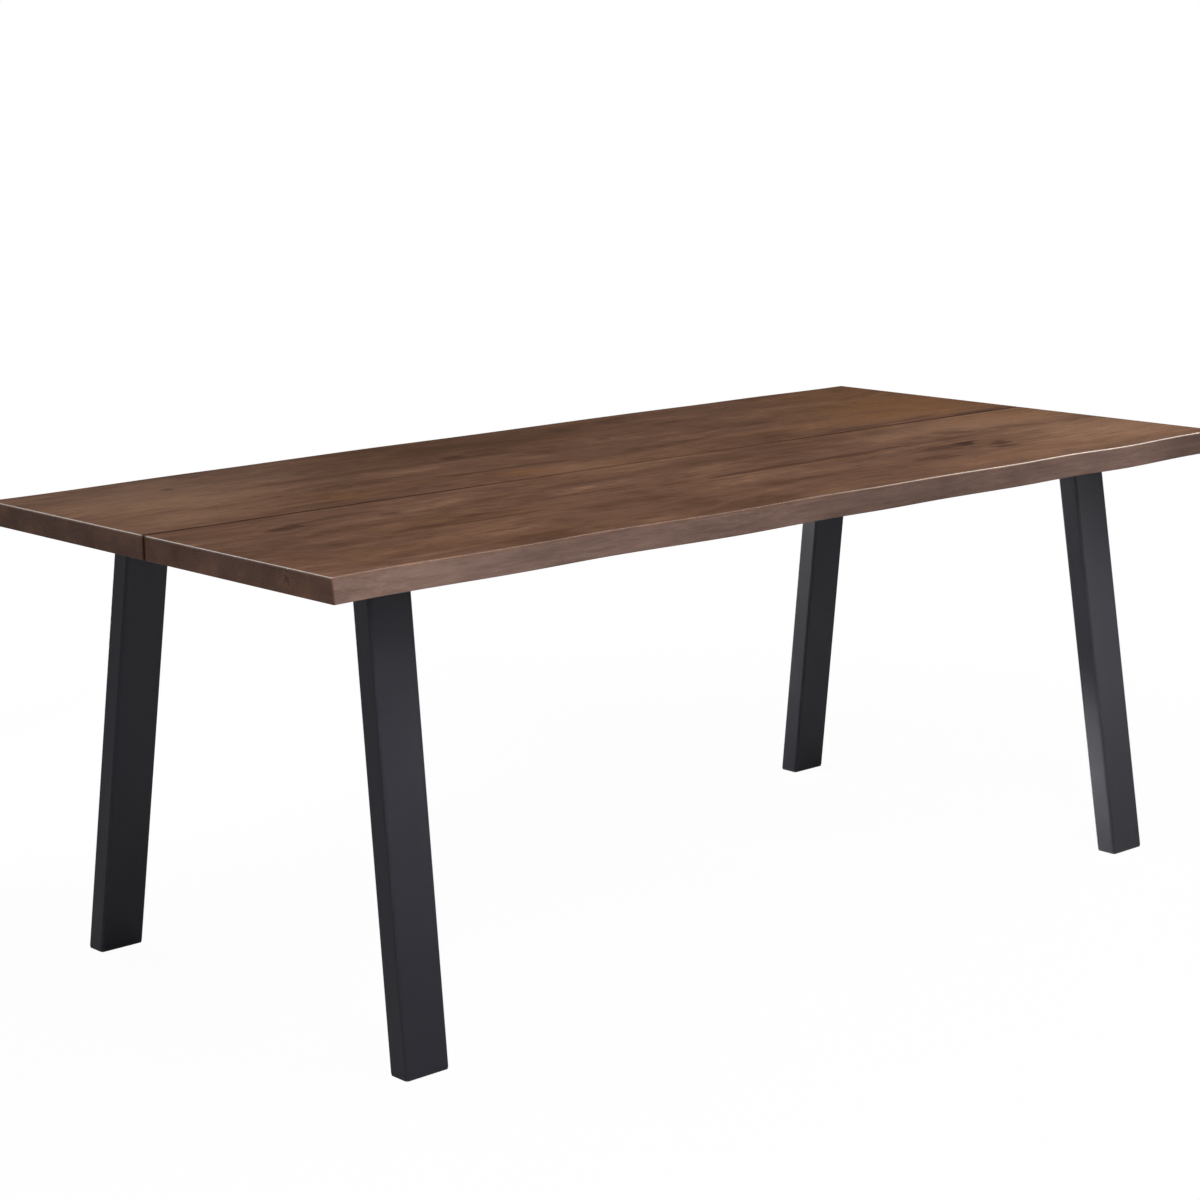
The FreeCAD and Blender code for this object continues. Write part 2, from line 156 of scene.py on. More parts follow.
class Graph:
    """Builds the shader nodes of one material. Inputs may be sockets or plain values."""

    def __init__(self, name):
        self.material = bpy.data.materials.new(name)
        self.material.use_nodes = True
        self.tree = self.material.node_tree
        self.tree.nodes.clear()

    def node(self, kind, settings=None, inputs=None):
        made = self.tree.nodes.new(kind)
        for name, value in (settings or {}).items():
            setattr(made, name, value)
        for key, value in (inputs or {}).items():
            self.feed(made.inputs[key], value)
        return made

    def feed(self, socket, value):
        if isinstance(value, bpy.types.NodeSocket):
            self.tree.links.new(value, socket)
        else:
            socket.default_value = value

    def math(self, operation, first, second=0.0):
        return self.node("ShaderNodeMath", {"operation": operation}, {0: first, 1: second}).outputs[0]

    def total(self, *values):
        result = values[0]
        for value in values[1:]:
            result = self.math("ADD", result, value)
        return result

    def ramp(self, value, start, stop, low=0.0, high=1.0):
        """A smooth step of the value from low at start to high at stop."""
        inputs = {"Value": value, "From Min": start, "From Max": stop, "To Min": low, "To Max": high}
        return self.node("ShaderNodeMapRange", {"interpolation_type": "SMOOTHSTEP"}, inputs).outputs[0]

    def stretched(self, vector, scale, shift=(0.0, 0.0, 0.0)):
        inputs = {"Vector": vector, "Location": shift, "Scale": scale}
        return self.node("ShaderNodeMapping", None, inputs).outputs[0]

    def noise(self, vector, detail, roughness=0.55, distortion=0.0):
        inputs = {
            "Vector": vector, "Scale": 1.0, "Detail": detail,
            "Roughness": roughness, "Distortion": distortion,
        }
        return self.node("ShaderNodeTexNoise", None, inputs).outputs[0]

    def blend(self, factor, first, second):
        """A colour between two colours."""
        made = self.node("ShaderNodeMix", {"data_type": "RGBA"})
        self.feed(made.inputs[0], factor)
        for socket, value in ((made.inputs[6], first), (made.inputs[7], second)):
            self.feed(socket, value if isinstance(value, bpy.types.NodeSocket) else (*value, 1.0))
        return made.outputs[2]

    def scaled(self, colour, factor):
        """A colour made lighter or darker."""
        made = self.node("ShaderNodeVectorMath", {"operation": "SCALE"}, {0: colour, "Scale": factor})
        return made.outputs[0]

    def object_place(self):
        return self.node("ShaderNodeTexCoord").outputs["Object"]

    def parts_of(self, vector):
        return self.node("ShaderNodeSeparateXYZ", None, {0: vector}).outputs

    def bump(self, height, distance, strength=1.0):
        inputs = {"Height": height, "Distance": distance, "Strength": strength}
        return self.node("ShaderNodeBump", None, inputs).outputs[0]

    def finish(self, shader):
        output = self.node("ShaderNodeOutputMaterial")
        self.tree.links.new(shader.outputs[0], output.inputs["Surface"])
        return self.material


def principled(graph, **inputs):
    """A surface shader; keyword names are the socket names with underscores for spaces."""
    named = {name.replace("_", " "): value for name, value in inputs.items()}
    return graph.node("ShaderNodeBsdfPrincipled", None, named)


# Oak

# Broad tones of the top: tone, strength, centre, half length and half width in metres, turn in degrees
ZONES = {
    "front_outer_stave": [
        ("pale_tone", 0.95, (0.90, -0.30), (0.42, 0.24), 0.0),
        ("pale_tone", 0.35, (0.55, -0.40), (0.35, 0.09), 0.0),
        ("shade_tone", 0.55, (0.55, -0.26), (0.20, 0.08), 0.0),
        ("shade_tone", 0.20, (-0.30, -0.27), (0.30, 0.08), 0.0),
        # Painted shade: this broad zone darkens the whole front of the top
        ("shade_tone", 0.22, (-0.20, -0.42), (0.95, 0.22), 0.0),
    ],
    "front_inner_stave": [
        ("pale_tone", 0.88, (0.84, -0.09), (0.45, 0.15), 0.0),
        ("warm_tone", 0.40, (0.92, -0.06), (0.30, 0.10), 0.0),
        ("shade_tone", 0.40, (0.15, -0.07), (0.35, 0.07), 0.0),
        ("shade_tone", 0.35, (0.33, -0.06), (0.20, 0.08), 0.0),
        ("pale_tone", 0.40, (-0.02, -0.012), (0.32, 0.016), 0.0),
    ],
    "rear_inner_stave": [
        ("pale_tone", 0.30, (0.78, 0.08), (0.45, 0.09), 0.0),
        ("warm_tone", 0.78, (0.80, 0.10), (0.50, 0.11), 0.0),
        ("shade_tone", 0.32, (0.31, 0.06), (0.20, 0.08), 0.0),
        ("shade_tone", 0.25, (-0.60, 0.06), (0.18, 0.06), 0.0),
        ("warm_tone", 0.60, (-0.21, 0.06), (0.10, 0.04), 0.0),
        ("warm_tone", 0.45, (-0.57, 0.07), (0.10, 0.04), 0.0),
        ("pale_tone", 0.60, (-0.88, 0.09), (0.28, 0.10), 0.0),
        ("pale_tone", 0.30, (0.05, 0.07), (0.16, 0.06), 0.0),
    ],
    "rear_outer_stave": [
        ("shade_tone", 0.95, (-0.12, 0.36), (0.52, 0.14), 0.0),
        ("warm_tone", 0.75, (0.88, 0.20), (0.45, 0.20), 0.0),
        ("warm_tone", 0.50, (0.95, 0.40), (0.40, 0.13), 0.0),
        ("pale_tone", 0.80, (-0.80, 0.26), (0.36, 0.22), 0.0),
        ("edge_tone", 0.30, (-0.72, 0.36), (0.42, 0.22), 0.0),
    ],
}
# Knots, cracks, dark joints and streaks of the top, in the same form
MARKS = {
    "front_outer_stave": [
        ("dark_tone", 1.00, (0.550, -0.251), (0.050, 0.023), 10.0),
        ("dark_tone", 1.00, (0.556, -0.250), (0.042, 0.020), 10.0),
        ("dark_tone", 0.55, (0.500, -0.252), (0.095, 0.014), 0.0),
        ("dark_tone", 0.74, (0.602, -0.287), (0.046, 0.022), 35.0),
        ("dark_tone", 0.70, (0.572, -0.312), (0.054, 0.017), -12.0),
        ("shade_tone", 0.80, (-0.565, -0.250), (0.150, 0.010), 0.0),
        ("dark_tone", 0.35, (-0.600, -0.339), (0.060, 0.006), -8.0),
        ("dark_tone", 0.70, (0.170, -0.205), (0.330, 0.008), 1.2),
    ],
    "front_inner_stave": [
        ("dark_tone", 0.70, (-0.815, -0.101), (0.050, 0.017), 12.0),
        ("dark_tone", 0.45, (-0.735, -0.079), (0.120, 0.011), 6.0),
        ("dark_tone", 0.45, (-0.625, -0.107), (0.028, 0.011), 0.0),
        ("dark_tone", 0.30, (-0.275, -0.173), (0.140, 0.010), 0.0),
        ("dark_tone", 0.45, (0.650, -0.150), (0.060, 0.022), -20.0),
        ("dark_tone", 0.35, (0.800, -0.168), (0.085, 0.014), -12.0),
        ("dark_tone", 0.70, (0.240, -0.195), (0.260, 0.007), 1.2),
    ],
    "rear_inner_stave": [
        ("dark_tone", 0.55, (-0.319, 0.114), (0.040, 0.010), -6.0),
        ("shade_tone", 0.75, (-0.230, 0.112), (0.190, 0.012), 0.0),
        ("dark_tone", 0.55, (0.595, 0.022), (0.140, 0.017), 2.0),
        ("dark_tone", 0.50, (0.730, 0.031), (0.070, 0.008), 10.0),
        ("dark_tone", 0.55, (0.900, 0.014), (0.115, 0.013), 2.0),
    ],
    "rear_outer_stave": [
        ("dark_tone", 0.75, (-0.200, 0.265), (0.045, 0.016), 12.0),
        ("shade_tone", 0.55, (-0.375, 0.250), (0.420, 0.020), 0.0),
        ("dark_tone", 0.55, (-0.738, 0.327), (0.016, 0.009), 0.0),
        ("dark_tone", 0.45, (-0.656, 0.142), (0.016, 0.007), 0.0),
        ("dark_tone", 0.45, (-0.569, 0.149), (0.018, 0.007), 0.0),
        ("shade_tone", 0.80, (0.482, 0.192), (0.070, 0.012), 0.0),
    ],
}
# How the light changes along X on the long edges and along Y on the ends: from, to, factor from, factor to
EDGE_LIGHT = [
    (-0.95, -0.55, 1.32, 1.10),
    (-0.15, 0.03, 1.0, 0.74),
    (0.42, 0.60, 1.0, 1.25),
    (0.78, 0.90, 1.0, 0.58),
]
END_LIGHT = [
    (-0.05, 0.05, 1.36, 1.0),
    (0.2, 0.45, 1.0, 0.84),
]
# How strong the painted highlight on the long arrises is along X, and the gap's dark arris line, partly
# painted shade, in the same form
EDGE_HIGHLIGHT = (-0.2, 0.7, 0.06, 1.0)
GAP_LEFT = (-0.10, -0.45, 0.35, 0.85)
GAP_RIGHT = (0.10, 0.50, 0.35, 0.80)
# Where the grain flows round a knot: strength, centre, half length and half width, turn in degrees
KNOT_FLOWS = {
    "front_outer_stave": [(0.80, (0.560, -0.275), (0.220, 0.100), 0.0)],
    "front_inner_stave": [
        (0.75, (-0.800, -0.100), (0.160, 0.060), 8.0),
        (0.65, (0.650, -0.150), (0.150, 0.050), -12.0),
    ],
    "rear_inner_stave": [(0.60, (-0.319, 0.100), (0.120, 0.035), 0.0)],
    "rear_outer_stave": [(0.75, (-0.200, 0.265), (0.160, 0.060), 6.0)],
}
# Small knots of the ends, as centre in Y and Z and radius
END_KNOTS = {"front_outer_stave": [((-0.352, 0.747), 0.014)]}
# Pith line of each stave's log, as Y and Z, and the seed of its noise
LOGS = {
    "front_outer_stave": ((-0.330, 0.640), 3.1),
    "front_inner_stave": ((-0.080, 0.900), 11.7),
    "rear_inner_stave": ((0.020, 0.670), 23.3),
    "rear_outer_stave": ((0.300, 0.880), 37.9),
}
# Patterns of the wood: stretch along X, Y and Z, share of the seed in their shift, detail, roughness, swirl
PATTERNS = {
    "wave": ((2.0, 3.5, 3.5), (1, 1, 1), 1.0),
    "drift": ((0.8, 1.0, 1.0), (0, 1, 0), 1.0),
    "wander": ((1.6, 4.0, 4.0), (1, 0, 0), 2.0),
    "ripple": ((3.0, 40.0, 40.0), (1, 1, 0), 3.0),
    "cloud": ((4.5, 14.0, 14.0), (1, 0, 0), 5.0, 0.62, 0.1),
    "mottle": ((9.0, 42.0, 42.0), (0, 0, 1), 5.0, 0.65, 0.1),
    "streak": ((7.0, 130.0, 130.0), (0, 1, 0), 4.0, 0.6),
    "dash": ((20.0, 95.0, 95.0), (1, 0, 1), 3.0, 0.6),
    "fleck": ((34.0, 480.0, 480.0), (1, 1, 0), 3.0, 0.6),
    "warmth": ((2.0, 11.0, 11.0), (0, 1, 1), 3.0, 0.5),
    "ragged": ((9.0, 100.0, 100.0), (1, 0, 1), 4.0),
    "smoke": ((1.0, 11.0, 16.0), (1, 1, 0), 3.0),
    "crumble": ((90.0, 90.0, 90.0), (0, 0, 0), 3.0),
}
# Patterns of the colour that follow the waves of the grain, and those that don't
FLOWING = ("cloud", "mottle", "streak", "dash", "fleck")
STRAIGHT = ("warmth", "ragged", "smoke")
# Ranges of a pattern's values that a change runs over
WIDE = (0.2, 0.8)
MIDDLE = (0.25, 0.75)
NARROW = (0.3, 0.7)
# Layers of colour: pattern, its value where the layer starts and where it is full, strength, tone
FACE_LAYERS = [
    ("warmth", 0.50, 0.78, 0.30, "warm_tone"),
    ("cloud", 0.50, 0.76, 0.70, "pale_tone"),
    ("cloud", 0.50, 0.26, 1.00, "shade_tone"),
    ("mottle", 0.52, 0.80, 0.22, "pale_tone"),
    ("mottle", 0.46, 0.22, 0.60, "shade_tone"),
    ("streak", 0.55, 0.80, 0.50, "shade_tone"),
    ("dash", 0.60, 0.72, 0.62, "shade_tone"),
]
END_LAYERS = [
    ("smoke", 0.48, 0.70, 0.60, "body_tone"),
    ("smoke", 0.50, 0.28, 0.60, "dark_tone"),
    ("mottle", 0.5, 0.8, 0.4, "body_tone"),
]
# How much the patterns raise and lower the brightness of the faces and of the long edges
FACE_CHANGES = {"mottle": 0.08, "dash": -0.06, "streak": -0.03}
EDGE_CHANGES = {"mottle": 0.10, "cloud": 0.10, "streak": 0.16, "fleck": 0.10}
# How high the patterns stand in the relief of the surface, and its depth in metres
RELIEF = {"streak": 0.5, "pores": -0.5, "rings": -0.15}
RELIEF_DEPTH = 0.00012
# Waves of the grain, drift and wander of the pith and ripple of the rings, in metres
GRAIN_SWAY = 0.02
PITH_DRIFT = 0.08
PITH_WANDER = 0.05
RING_RIPPLE = 0.004
# Where a ring's dark line starts and is full, as a share of the ring from its middle
RING_LINE = (0.15, 0.5)
# Strengths of the rings and pores, and the range of flecks that makes a pore
FACE_RINGS = 0.24
END_RINGS = 0.35
FACE_PORES = 0.68
PORE_RANGE = (0.57, 0.69)
# How far the outlines of zones and marks wander, and where their tone is full, as shares of the half size
ZONE_RAGGEDNESS = 0.22
ZONE_FULL = 0.0
MARK_RAGGEDNESS = 0.5
MARK_FULL = 0.45
# Pale ring and dark core of an end knot, in shares of its radius, with strengths
END_KNOT_FLATNESS = 1.4
END_KNOT_RAGGEDNESS = 0.6
END_KNOT_RING_INSIDE = (0.2, 0.7)
END_KNOT_RING_OUTSIDE = (1.5, 0.9)
END_KNOT_RING = 0.45
END_KNOT_CORE = (0.7, 0.0, 0.0, 0.6)
# Depths under the upper face where each starts and is full, in metres
SIDE_DEPTHS = (0.0012, 0.004)
LACQUER_DEPTHS = (0.004, 0.002)
ARRIS_UPPER = (0.0001, 0.0006)
ARRIS_LOWER = (0.0019, 0.0009)
# Depths behind the ends, and distances from mid-width, in the same form
END_DEPTHS = (0.004, 0.0015)
ARRIS_FROM_GAP = (0.003, 0.01)
GAP_REACH = (0.007, 0.003)
# Strengths of the edge and end colours, of the painted highlight on the arrises and of the painted shade
# inside the gap
EDGE_STRENGTH = 0.90
END_STRENGTH = 0.9
ARRIS_HIGHLIGHT = 0.9
END_HIGHLIGHT = 0.66
GAP_SHADE = 0.9
# Shine of the wood: specular level, change of roughness where smooth and dull, and roughness of the lacquer
OAK_SPECULAR = 0.15
OAK_SMOOTHER = -0.06
OAK_DULLER = 0.08
LACQUER_ROUGHNESS = (0.34, 0.44)


def patch_mask(graph, place, raggedness, edge, centre, half_size, turn):
    """A soft-edged ellipse on the top, with a ragged outline."""
    inputs = {0: place, 1: (*centre, 0.0)}
    shifted = graph.node("ShaderNodeVectorMath", {"operation": "SUBTRACT"}, inputs)
    inputs = {"Vector": shifted.outputs[0], "Angle": -math.radians(turn)}
    turned = graph.node("ShaderNodeVectorRotate", {"rotation_type": "Z_AXIS"}, inputs)
    scaled = graph.stretched(turned.outputs[0], (1.0 / half_size[0], 1.0 / half_size[1], 0.0))
    distance = graph.node("ShaderNodeVectorMath", {"operation": "LENGTH"}, {0: scaled}).outputs["Value"]
    return graph.ramp(graph.math("ADD", distance, raggedness), 1.0, edge)


def pattern(graph, place, seed, name):
    """One of the patterns of the wood, shifted by the seed of its stave."""
    stretch, seeded, *kind = PATTERNS[name]
    shift = [seed * share for share in seeded]
    return graph.noise(graph.stretched(place, stretch, shift), *kind)


def wavy_place(graph, place, seed, flows):
    """The place with the grain's slow waves, and its flow round the knots, taken out."""
    sway = graph.ramp(pattern(graph, place, seed, "wave"), *WIDE, -GRAIN_SWAY, GRAIN_SWAY)
    y = graph.parts_of(place)["Y"]
    for strength, centre, half_size, turn in flows:
        mask = patch_mask(graph, place, 0.0, 0.0, centre, half_size, turn)
        pull = graph.math("MULTIPLY", graph.math("SUBTRACT", centre[1], y), strength)
        sway = graph.math("ADD", sway, graph.math("MULTIPLY", mask, pull))
    moved = graph.node("ShaderNodeCombineXYZ", None, {"Y": sway})
    inputs = {0: place, 1: moved.outputs[0]}
    return graph.node("ShaderNodeVectorMath", {"operation": "ADD"}, inputs).outputs[0]


def ring_lines(graph, place, pith, seed, ring_width):
    """Growth rings about a pith line that wanders along the log."""
    parts = graph.parts_of(place)
    drift = graph.math("MULTIPLY", pattern(graph, place, seed, "drift"), PITH_DRIFT)
    wander = graph.math("MULTIPLY", pattern(graph, place, seed, "wander"), PITH_WANDER)
    ripple = graph.math("MULTIPLY", pattern(graph, place, seed, "ripple"), RING_RIPPLE)
    across = graph.total(parts["Y"], -pith[0], drift)
    height = graph.total(parts["Z"], -pith[1], wander)
    squares = graph.math("ADD", graph.math("POWER", across, 2.0), graph.math("POWER", height, 2.0))
    radius = graph.math("ADD", graph.math("SQRT", squares), ripple)
    ring = graph.math("FRACT", graph.math("DIVIDE", radius, ring_width))
    from_middle = graph.math("ABSOLUTE", graph.math("SUBTRACT", ring, 0.5))
    return graph.ramp(from_middle, *RING_LINE)


def stave_patterns(graph, place, stave, ring_width):
    """The patterns of one stave, by name, that its faces, edges and ends share."""
    pith, seed = LOGS[stave]
    grain = wavy_place(graph, place, seed, KNOT_FLOWS[stave])
    patterns = {name: pattern(graph, grain, seed, name) for name in FLOWING}
    patterns |= {name: pattern(graph, place, seed, name) for name in STRAIGHT}
    patterns["pores"] = graph.ramp(patterns["fleck"], *PORE_RANGE)
    patterns["rings"] = ring_lines(graph, place, pith, seed, ring_width)
    return patterns


def layered(graph, settings, patterns, tone, layers):
    """A tone with one layer of colour after another over it."""
    for name, start, stop, strength, layer_tone in layers:
        share = graph.ramp(patterns[name], start, stop, 0.0, strength)
        tone = graph.blend(share, tone, getattr(settings, layer_tone))
    return tone


def patched(graph, settings, place, tone, patches, raggedness, edge):
    """A tone with ragged patches of other tones on it."""
    for patch_tone, strength, *ellipse in patches:
        mask = patch_mask(graph, place, raggedness, edge, *ellipse)
        tone = graph.blend(graph.math("MULTIPLY", mask, strength), tone, getattr(settings, patch_tone))
    return tone


def lit_along(graph, distance, steps):
    """A brightness that changes by smooth steps along a direction."""
    light = 1.0
    for start, stop, low, high in steps:
        light = graph.math("MULTIPLY", light, graph.ramp(distance, start, stop, low, high))
    return light


def varied(graph, patterns, light, changes):
    """A brightness that some patterns raise and lower by a share each."""
    for name, change in changes.items():
        factor = graph.ramp(patterns[name], *NARROW, 1.0 - change, 1.0 + change)
        light = graph.math("MULTIPLY", light, factor)
    return light


def face_tone(graph, settings, stave, place, patterns):
    """The colour of the broad faces."""
    tone = layered(graph, settings, patterns, settings.body_tone, FACE_LAYERS)
    tone = graph.blend(graph.math("MULTIPLY", patterns["rings"], FACE_RINGS), tone, settings.shade_tone)
    zone_outline = graph.ramp(patterns["ragged"], *MIDDLE, -ZONE_RAGGEDNESS, ZONE_RAGGEDNESS)
    tone = patched(graph, settings, place, tone, ZONES[stave], zone_outline, ZONE_FULL)
    tone = graph.scaled(tone, varied(graph, patterns, 1.0, FACE_CHANGES))
    mark_outline = graph.ramp(patterns["ragged"], *MIDDLE, -MARK_RAGGEDNESS, MARK_RAGGEDNESS)
    tone = patched(graph, settings, place, tone, MARKS[stave], mark_outline, MARK_FULL)
    return graph.blend(graph.math("MULTIPLY", patterns["pores"], FACE_PORES), tone, settings.dark_tone)


def edge_tone(graph, settings, place, patterns):
    """The colour of the long edges."""
    light = lit_along(graph, graph.parts_of(place)["X"], EDGE_LIGHT)
    return graph.scaled(settings.edge_tone, varied(graph, patterns, light, EDGE_CHANGES))


def end_knot(graph, settings, place, tone, centre, radius):
    """The end grain with a small knot: a dark core in a pale ring."""
    inputs = {0: place, 1: (0.0, *centre)}
    shifted = graph.node("ShaderNodeVectorMath", {"operation": "SUBTRACT"}, inputs).outputs[0]
    inputs = {0: graph.stretched(shifted, (0.0, 1.0 / radius, END_KNOT_FLATNESS / radius))}
    distance = graph.node("ShaderNodeVectorMath", {"operation": "LENGTH"}, inputs).outputs["Value"]
    crumble = pattern(graph, place, 0.0, "crumble")
    outline = graph.ramp(crumble, *WIDE, -END_KNOT_RAGGEDNESS, END_KNOT_RAGGEDNESS)
    distance = graph.math("ADD", distance, outline)
    inside = graph.ramp(distance, *END_KNOT_RING_INSIDE)
    ring = graph.math("MULTIPLY", inside, graph.ramp(distance, *END_KNOT_RING_OUTSIDE))
    tone = graph.blend(graph.math("MULTIPLY", ring, END_KNOT_RING), tone, settings.body_tone)
    return graph.blend(graph.ramp(distance, *END_KNOT_CORE), tone, settings.dark_tone)


def end_tone(graph, settings, stave, place, patterns):
    """The colour of the end grain."""
    light = lit_along(graph, graph.parts_of(place)["Y"], END_LIGHT)
    tone = graph.scaled(settings.end_tone, light)
    tone = graph.blend(graph.math("MULTIPLY", patterns["rings"], END_RINGS), tone, settings.dark_tone)
    tone = layered(graph, settings, patterns, tone, END_LAYERS)
    for centre, radius in END_KNOTS.get(stave, []):
        tone = end_knot(graph, settings, place, tone, centre, radius)
    return tone


def depth_step(graph, place, start, stop, low=0.0, high=1.0):
    """A smooth step between two depths under the upper face."""
    return graph.ramp(graph.parts_of(place)["Z"], TOP_UPPER - start, TOP_UPPER - stop, low, high)


def arris_highlight_mask(graph, place, end):
    """Where a highlight is painted on the upper arrises: at the ends, and along the edges more to the
    right.
    """
    parts = graph.parts_of(place)
    upper = depth_step(graph, place, *ARRIS_UPPER)
    arris = graph.math("MULTIPLY", upper, depth_step(graph, place, *ARRIS_LOWER))
    off_gap = graph.ramp(graph.math("ABSOLUTE", parts["Y"]), *ARRIS_FROM_GAP)
    arris = graph.math("MULTIPLY", arris, off_gap)
    at_end = graph.math("MULTIPLY", end, END_HIGHLIGHT)
    highlit = graph.math("MAXIMUM", at_end, graph.ramp(parts["X"], *EDGE_HIGHLIGHT))
    return graph.math("MULTIPLY", arris, graph.math("MULTIPLY", highlit, ARRIS_HIGHLIGHT))


def gap_mask(graph, place, side):
    """Where the gap between the planks is painted dark: painted shade on the walls inside the gap, and a
    dark line on its arrises, partly painted shade, less at mid-length.
    """
    parts = graph.parts_of(place)
    near = graph.ramp(graph.math("ABSOLUTE", parts["Y"]), *GAP_REACH)
    left, right = (graph.ramp(parts["X"], *steps) for steps in (GAP_LEFT, GAP_RIGHT))
    arrises = graph.math("MAXIMUM", left, right)
    inside = graph.math("MULTIPLY", side, GAP_SHADE)
    return graph.math("MULTIPLY", near, graph.math("MAXIMUM", arrises, inside))


def oak_tone(graph, settings, stave, place, patterns):
    """The colour of a stave all over: faces, edges, ends, painted highlight on the arrises and painted
    shade in the gap.
    """
    side = depth_step(graph, place, *SIDE_DEPTHS)
    from_middle = graph.math("ABSOLUTE", graph.parts_of(place)["X"])
    start, stop = (CAD_BOX[1].x - depth for depth in END_DEPTHS)
    end = graph.ramp(from_middle, start, stop)
    tone = face_tone(graph, settings, stave, place, patterns)
    edge_share = graph.math("MULTIPLY", side, EDGE_STRENGTH)
    tone = graph.blend(edge_share, tone, edge_tone(graph, settings, place, patterns))
    end_share = graph.math("MULTIPLY", graph.math("MULTIPLY", end, side), END_STRENGTH)
    tone = graph.blend(end_share, tone, end_tone(graph, settings, stave, place, patterns))
    # Painted highlight along the upper arrises
    tone = graph.blend(arris_highlight_mask(graph, place, end), tone, settings.arris_highlight_tone)
    # Painted shade inside the gap between the planks, and its dark arris line
    return graph.blend(gap_mask(graph, place, side), tone, settings.dark_tone)


def oak_material(stave, settings):
    """Solid smoked oak: every pattern is in space, so that faces, edges and ends agree."""
    graph = Graph(f"oak_{stave}")
    place = graph.object_place()
    patterns = stave_patterns(graph, place, stave, settings.ring_width)
    heights = [graph.math("MULTIPLY", patterns[name], height) for name, height in RELIEF.items()]
    smooth, dull = settings.roughness + OAK_SMOOTHER, settings.roughness + OAK_DULLER
    shader = principled(
        graph,
        Base_Color=oak_tone(graph, settings, stave, place, patterns),
        Roughness=graph.ramp(patterns["cloud"], *WIDE, smooth, dull),
        Specular_IOR_Level=OAK_SPECULAR,
        Coat_Weight=depth_step(graph, place, *LACQUER_DEPTHS, 0.0, settings.lacquer),
        Coat_Roughness=graph.ramp(patterns["streak"], *NARROW, *LACQUER_ROUGHNESS),
        Normal=graph.bump(graph.total(*heights), RELIEF_DEPTH),
    )
    return graph.finish(shader)


# Steel and plastic

# Powder coat: scale, depth and strength of its orange peel, and the clouds in its tone and roughness
PEEL_SCALE = 700.0
PEEL_DEPTH = 0.0001
PEEL_STRENGTH = 0.5
COAT_CLOUDS = (9.0, 9.0, 4.0)
COAT_SHADE = 0.8
COAT_CHANGE = 0.06
COAT_SPECULAR = 0.24
# Plastic: grains of its texture and dust to the metre, depth and strength, paleness of the dust
SPARK_SCALE = 1500.0
SPARK_DEPTH = 0.00008
SPARK_STRENGTH = 0.6
DUST_SCALE = 60.0
DUST_RANGE = (0.5, 0.75)
DUST_PALENESS = 2.0
PLASTIC_ROUGHNESS = (0.5, 0.65)
# Zinc and blackened steel: mottle to the metre, tones and roughness
ZINC_SCALE = 160.0
ZINC_DULLNESS = 0.7
ZINC_ROUGHNESS = (0.28, 0.45)
BOLT_SCALE = 220.0
BOLT_DARK = (0.016, 0.016, 0.018)
BOLT_PALE = (0.035, 0.034, 0.036)
BOLT_METAL = 0.6
BOLT_ROUGHNESS = (0.3, 0.5)
# Weld beads: resolution of the round, step and ripple as shares of the radius, and steps to a ripple
WELD_RESOLUTION = 2
WELD_STEP = 0.5
WELD_RIPPLE = 0.12
WELD_RIPPLE_STEPS = 4.0
# How near points count as one, and how near the top of a leg as its head, in metres
MERGE_DISTANCE = 0.00001
HEAD_TOLERANCE = 0.0001


def even_noise(graph, place, scale, detail):
    """A noise with the same scale in all directions."""
    return graph.noise(graph.stretched(place, (scale, scale, scale)), detail)


def powder_coat_material(settings):
    """Black powder coat: matt, with a fine orange-peel texture and faint clouds in its tone and roughness.
    """
    graph = Graph("black_powder_coat")
    place = graph.object_place()
    peel = even_noise(graph, place, PEEL_SCALE, detail=2.0)
    cloud = graph.noise(graph.stretched(place, COAT_CLOUDS), detail=3.0)
    smooth, dull = settings.coat_roughness - COAT_CHANGE, settings.coat_roughness + COAT_CHANGE
    dark = [COAT_SHADE * part for part in settings.coat_colour]
    shader = principled(
        graph,
        Base_Color=graph.blend(graph.ramp(cloud, *NARROW), dark, settings.coat_colour),
        Roughness=graph.ramp(cloud, *NARROW, smooth, dull),
        Specular_IOR_Level=COAT_SPECULAR,
        Normal=graph.bump(peel, PEEL_DEPTH, PEEL_STRENGTH),
    )
    return graph.finish(shader)


def plastic_material(settings):
    """Black moulded plastic with a fine spark-eroded texture."""
    graph = Graph("black_plastic")
    place = graph.object_place()
    texture = even_noise(graph, place, SPARK_SCALE, detail=2.0)
    dust = even_noise(graph, place, DUST_SCALE, detail=3.0)
    pale = [DUST_PALENESS * part for part in settings.plastic_colour]
    shader = principled(
        graph,
        Base_Color=graph.blend(graph.ramp(dust, *DUST_RANGE), settings.plastic_colour, pale),
        Roughness=graph.ramp(dust, *NARROW, *PLASTIC_ROUGHNESS),
        Normal=graph.bump(texture, SPARK_DEPTH, SPARK_STRENGTH),
    )
    return graph.finish(shader)


def zinc_material(settings):
    """Zinc-plated steel with a faint mottle."""
    graph = Graph("zinc_plate")
    mottle = even_noise(graph, graph.object_place(), ZINC_SCALE, detail=4.0)
    dull = [ZINC_DULLNESS * part for part in settings.zinc_colour]
    shader = principled(
        graph,
        Base_Color=graph.blend(mottle, dull, settings.zinc_colour),
        Metallic=1.0,
        Roughness=graph.ramp(mottle, *NARROW, *ZINC_ROUGHNESS),
    )
    return graph.finish(shader)


def bolt_material():
    """Blackened steel with a satin sheen."""
    graph = Graph("blackened_steel")
    mottle = even_noise(graph, graph.object_place(), BOLT_SCALE, detail=4.0)
    shader = principled(
        graph,
        Base_Color=graph.blend(mottle, BOLT_DARK, BOLT_PALE),
        Metallic=BOLT_METAL,
        Roughness=graph.ramp(mottle, *NARROW, *BOLT_ROUGHNESS),
    )
    return graph.finish(shader)


def dress(node, material):
    """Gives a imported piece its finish."""
    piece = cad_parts[node]
    piece.data.materials.clear()
    piece.data.materials.append(material)


